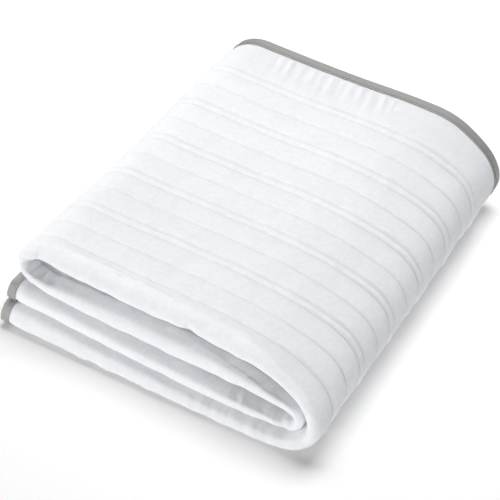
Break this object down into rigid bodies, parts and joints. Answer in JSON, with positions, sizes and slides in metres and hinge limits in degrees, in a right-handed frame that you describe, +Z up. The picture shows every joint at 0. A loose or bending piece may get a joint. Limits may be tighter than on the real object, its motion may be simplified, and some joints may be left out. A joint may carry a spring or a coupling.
{
  "type": "electric heated blanket",
  "caption": "Quilted heated underblanket with a tape binding round its edges, folded in half lengthwise and then twice more into a low pile.",
  "frame": {"origin": "on the surface the pile lies on, under the middle of its bounding box", "axes": "+Z up, +X to the right along the folded strip towards its large fold, +Y from the rolled front to the bound back edges"},
  "size_m": [0.3778, 0.4602, 0.1023],
  "materials": {
    "quilted_cloth": "white brushed fleece, soft and matt",
    "tape_binding": "grey woven tape, matt"
  },
  "bodies": {
    "root": {"blanket": "quilted_cloth", "binding_back_outer": "tape_binding", "binding_back_inner": "tape_binding", "binding_end_bottom": "tape_binding", "binding_end_inner": "tape_binding"}
  },
  "joints": []
}
